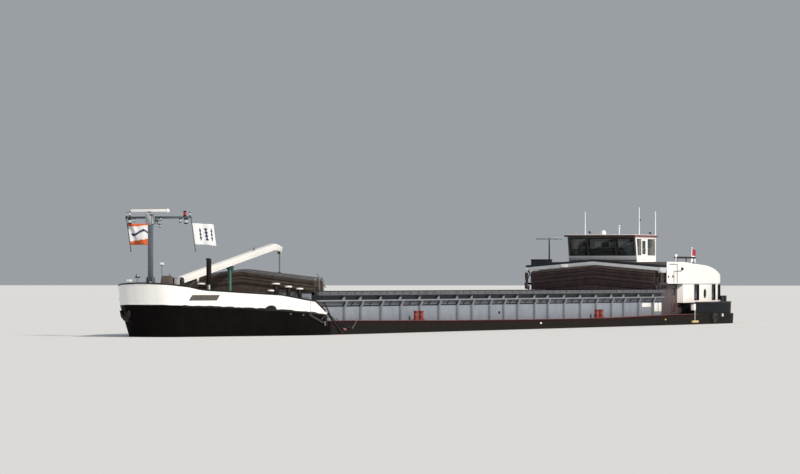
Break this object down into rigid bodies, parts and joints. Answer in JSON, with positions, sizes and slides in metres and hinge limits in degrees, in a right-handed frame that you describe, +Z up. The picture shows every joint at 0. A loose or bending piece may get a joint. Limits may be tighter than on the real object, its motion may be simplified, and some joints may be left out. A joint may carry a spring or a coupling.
{
  "type": "inland motor barge, half size scale model",
  "caption": "Dry cargo river barge at half size: open hold with hatch gantry, bow crane, folding mast, stern deckhouse, wheelhouse, twin rudders and ducted propeller.",
  "frame": {"origin": "centre of the hull's bounding box at the flat keel bottom", "axes": "+X towards the bow, +Y to port, +Z up"},
  "size_m": [39.4957, 4.6996, 4.775],
  "materials": {
    "hull_paint": "satin black paint",
    "white_paint": "gloss white paint",
    "dark_paint": "satin dark grey paint",
    "coaming_paint": "satin blue grey paint",
    "hatch_metal": "weathered dark aluminium",
    "grey_paint": "satin grey paint",
    "bare_steel": "worn bare steel",
    "bright_steel": "bright cylinder rod",
    "mast_paint": "satin light grey paint",
    "green_paint": "satin green paint",
    "brown_paint": "satin brown paint",
    "red_paint": "satin red paint",
    "red_brown_paint": "satin red brown paint",
    "tyre_rubber": "worn black rubber",
    "propeller_bronze": "ground bronze",
    "flag_cloth": "woven flag cloth",
    "window_glass": "dark tinted window glass"
  },
  "bodies": {
    "ship": {"hull": "hull_paint", "bow_bulwark": "white_paint", "poop_deck": "dark_paint", "hold_coaming": "coaming_paint", "fore_hatch_stack": "hatch_metal", "aft_hatch_stack": "hatch_metal", "mast_post": "mast_paint", "crane_base": "white_paint", "boom_rest": "green_paint", "bow_exhaust": "dark_paint", "anchor_windlass": "brown_paint", "bow_anchor": "dark_paint", "fore_bollards_port": "dark_paint", "fore_bollards_starboard": "dark_paint", "mid_fore_bollards_port": "red_paint", "mid_fore_bollards_starboard": "red_paint", "mid_aft_bollards_port": "red_paint", "mid_aft_bollards_starboard": "red_paint", "stern_bollards_port": "dark_paint", "stern_bollards_starboard": "dark_paint", "tyre_fender_port": "tyre_rubber", "tyre_fender_starboard": "tyre_rubber", "deckhouse_lower": "white_paint", "deckhouse_upper": "white_paint", "wheelhouse": "white_paint", "wheelhouse_roof": "red_brown_paint", "signal_mast": "mast_paint", "stern_flag_staff": "white_paint", "stern_flag": "flag_cloth", "propeller_nozzle": "dark_paint", "engine": "grey_paint"},
    "gantry": {"hatch_gantry": "grey_paint"},
    "wheel_fore_port": {"gantry_wheel_fore_port": "bare_steel"},
    "wheel_aft_port": {"gantry_wheel_aft_port": "bare_steel"},
    "wheel_fore_starboard": {"gantry_wheel_fore_starboard": "bare_steel"},
    "wheel_aft_starboard": {"gantry_wheel_aft_starboard": "bare_steel"},
    "mast": {"foremast": "mast_paint", "bow_flag_port": "flag_cloth", "bow_flag_starboard": "flag_cloth"},
    "radar": {"radar_scanner": "white_paint"},
    "crane": {"crane_column": "dark_paint"},
    "boom": {"crane_boom": "white_paint"},
    "ram_barrel": {"luffing_barrel": "dark_paint"},
    "ram_rod": {"luffing_rod": "bright_steel"},
    "hook": {"crane_hook": "dark_paint"},
    "cabin_door_port": {"deckhouse_door_port": "brown_paint"},
    "cabin_door_starboard": {"deckhouse_door_starboard": "brown_paint"},
    "bridge_door_port": {"wheelhouse_door_port": "white_paint"},
    "bridge_door_starboard": {"wheelhouse_door_starboard": "white_paint"},
    "screw": {"propeller": "propeller_bronze"},
    "port_rudder": {"rudder_port": "hull_paint"},
    "starboard_rudder": {"rudder_starboard": "hull_paint"}
  },
  "joints": [
    {"name": "gantry_travel", "type": "slide", "parent": "ship", "child": "gantry", "axis": [1, 0, 0], "range_m": [0, 23]},
    {"name": "wheel_fore_port_spin", "type": "hinge", "parent": "gantry", "child": "wheel_fore_port", "pos_m": [-11.55, 2.025, 2.3653], "axis": [0, 1, 0], "continuous": true},
    {"name": "wheel_aft_port_spin", "type": "hinge", "parent": "gantry", "child": "wheel_aft_port", "pos_m": [-12.17, 2.025, 2.3653], "axis": [0, 1, 0], "continuous": true},
    {"name": "wheel_fore_starboard_spin", "type": "hinge", "parent": "gantry", "child": "wheel_fore_starboard", "pos_m": [-11.55, -2.025, 2.3653], "axis": [0, 1, 0], "continuous": true},
    {"name": "wheel_aft_starboard_spin", "type": "hinge", "parent": "gantry", "child": "wheel_aft_starboard", "pos_m": [-12.17, -2.025, 2.3653], "axis": [0, 1, 0], "continuous": true},
    {"name": "mast_fold", "type": "hinge", "parent": "ship", "child": "mast", "pos_m": [19.27, 0, 2.61], "axis": [0, 1, 0], "range_deg": [0, 90]},
    {"name": "radar_spin", "type": "hinge", "parent": "mast", "child": "radar", "pos_m": [19.32, 0, 4.2], "axis": [0, 0, 1], "continuous": true},
    {"name": "crane_slew", "type": "hinge", "parent": "ship", "child": "crane", "pos_m": [17.71, 0, 2.1], "axis": [0, 0, 1], "range_deg": [-95, 95]},
    {"name": "boom_luff", "type": "hinge", "parent": "crane", "child": "boom", "pos_m": [17.71, 0, 2.57], "axis": [0, 1, 0], "range_deg": [0, 62]},
    {"name": "ram_barrel_tilt", "type": "hinge", "parent": "crane", "child": "ram_barrel", "pos_m": [17.5, 0, 2.225], "axis": [0, 1, 0], "range_deg": [0, 55]},
    {"name": "ram_rod_slide", "type": "slide", "parent": "ram_barrel", "child": "ram_rod", "axis": [-0.9135, 0, 0.4068], "range_m": [0, 0.4]},
    {"name": "hook_swing", "type": "hinge", "parent": "boom", "child": "hook", "pos_m": [11.7065, 0, 3.2656], "axis": [0, 1, 0], "range_deg": [-63, 0]},
    {"name": "cabin_door_port_swing", "type": "hinge", "parent": "ship", "child": "cabin_door_port", "pos_m": [-13.555, 1.79, 2], "axis": [0, 0, 1], "range_deg": [-90, 0]},
    {"name": "cabin_door_starboard_swing", "type": "hinge", "parent": "ship", "child": "cabin_door_starboard", "pos_m": [-13.555, -1.79, 2], "axis": [0, 0, 1], "range_deg": [0, 90]},
    {"name": "bridge_door_port_swing", "type": "hinge", "parent": "ship", "child": "bridge_door_port", "pos_m": [-12.955, 1.065, 3.5], "axis": [0, 0, 1], "range_deg": [-90, 0]},
    {"name": "bridge_door_starboard_swing", "type": "hinge", "parent": "ship", "child": "bridge_door_starboard", "pos_m": [-12.955, -1.065, 3.5], "axis": [0, 0, 1], "range_deg": [0, 90]},
    {"name": "propeller_spin", "type": "hinge", "parent": "ship", "child": "screw", "pos_m": [-16.925, 0, 0.46], "axis": [1, 0, 0], "continuous": true},
    {"name": "rudder_port_turn", "type": "hinge", "parent": "ship", "child": "port_rudder", "pos_m": [-17.875, 0.25, 0.5], "axis": [0, 0, 1], "range_deg": [-60, 60]},
    {"name": "rudder_starboard_turn", "type": "hinge", "parent": "ship", "child": "starboard_rudder", "pos_m": [-17.875, -0.25, 0.5], "axis": [0, 0, 1], "range_deg": [-60, 60]}
  ],
  "couplings": [
    {"joint": "ram_barrel_tilt", "follows": "boom_luff", "ratio": 0.87784},
    {"joint": "ram_rod_slide", "follows": "boom_luff", "m_per_rad": 0.36233},
    {"joint": "hook_swing", "follows": "boom_luff", "ratio": -1},
    {"joint": "rudder_starboard_turn", "follows": "rudder_port_turn", "ratio": 1}
  ]
}
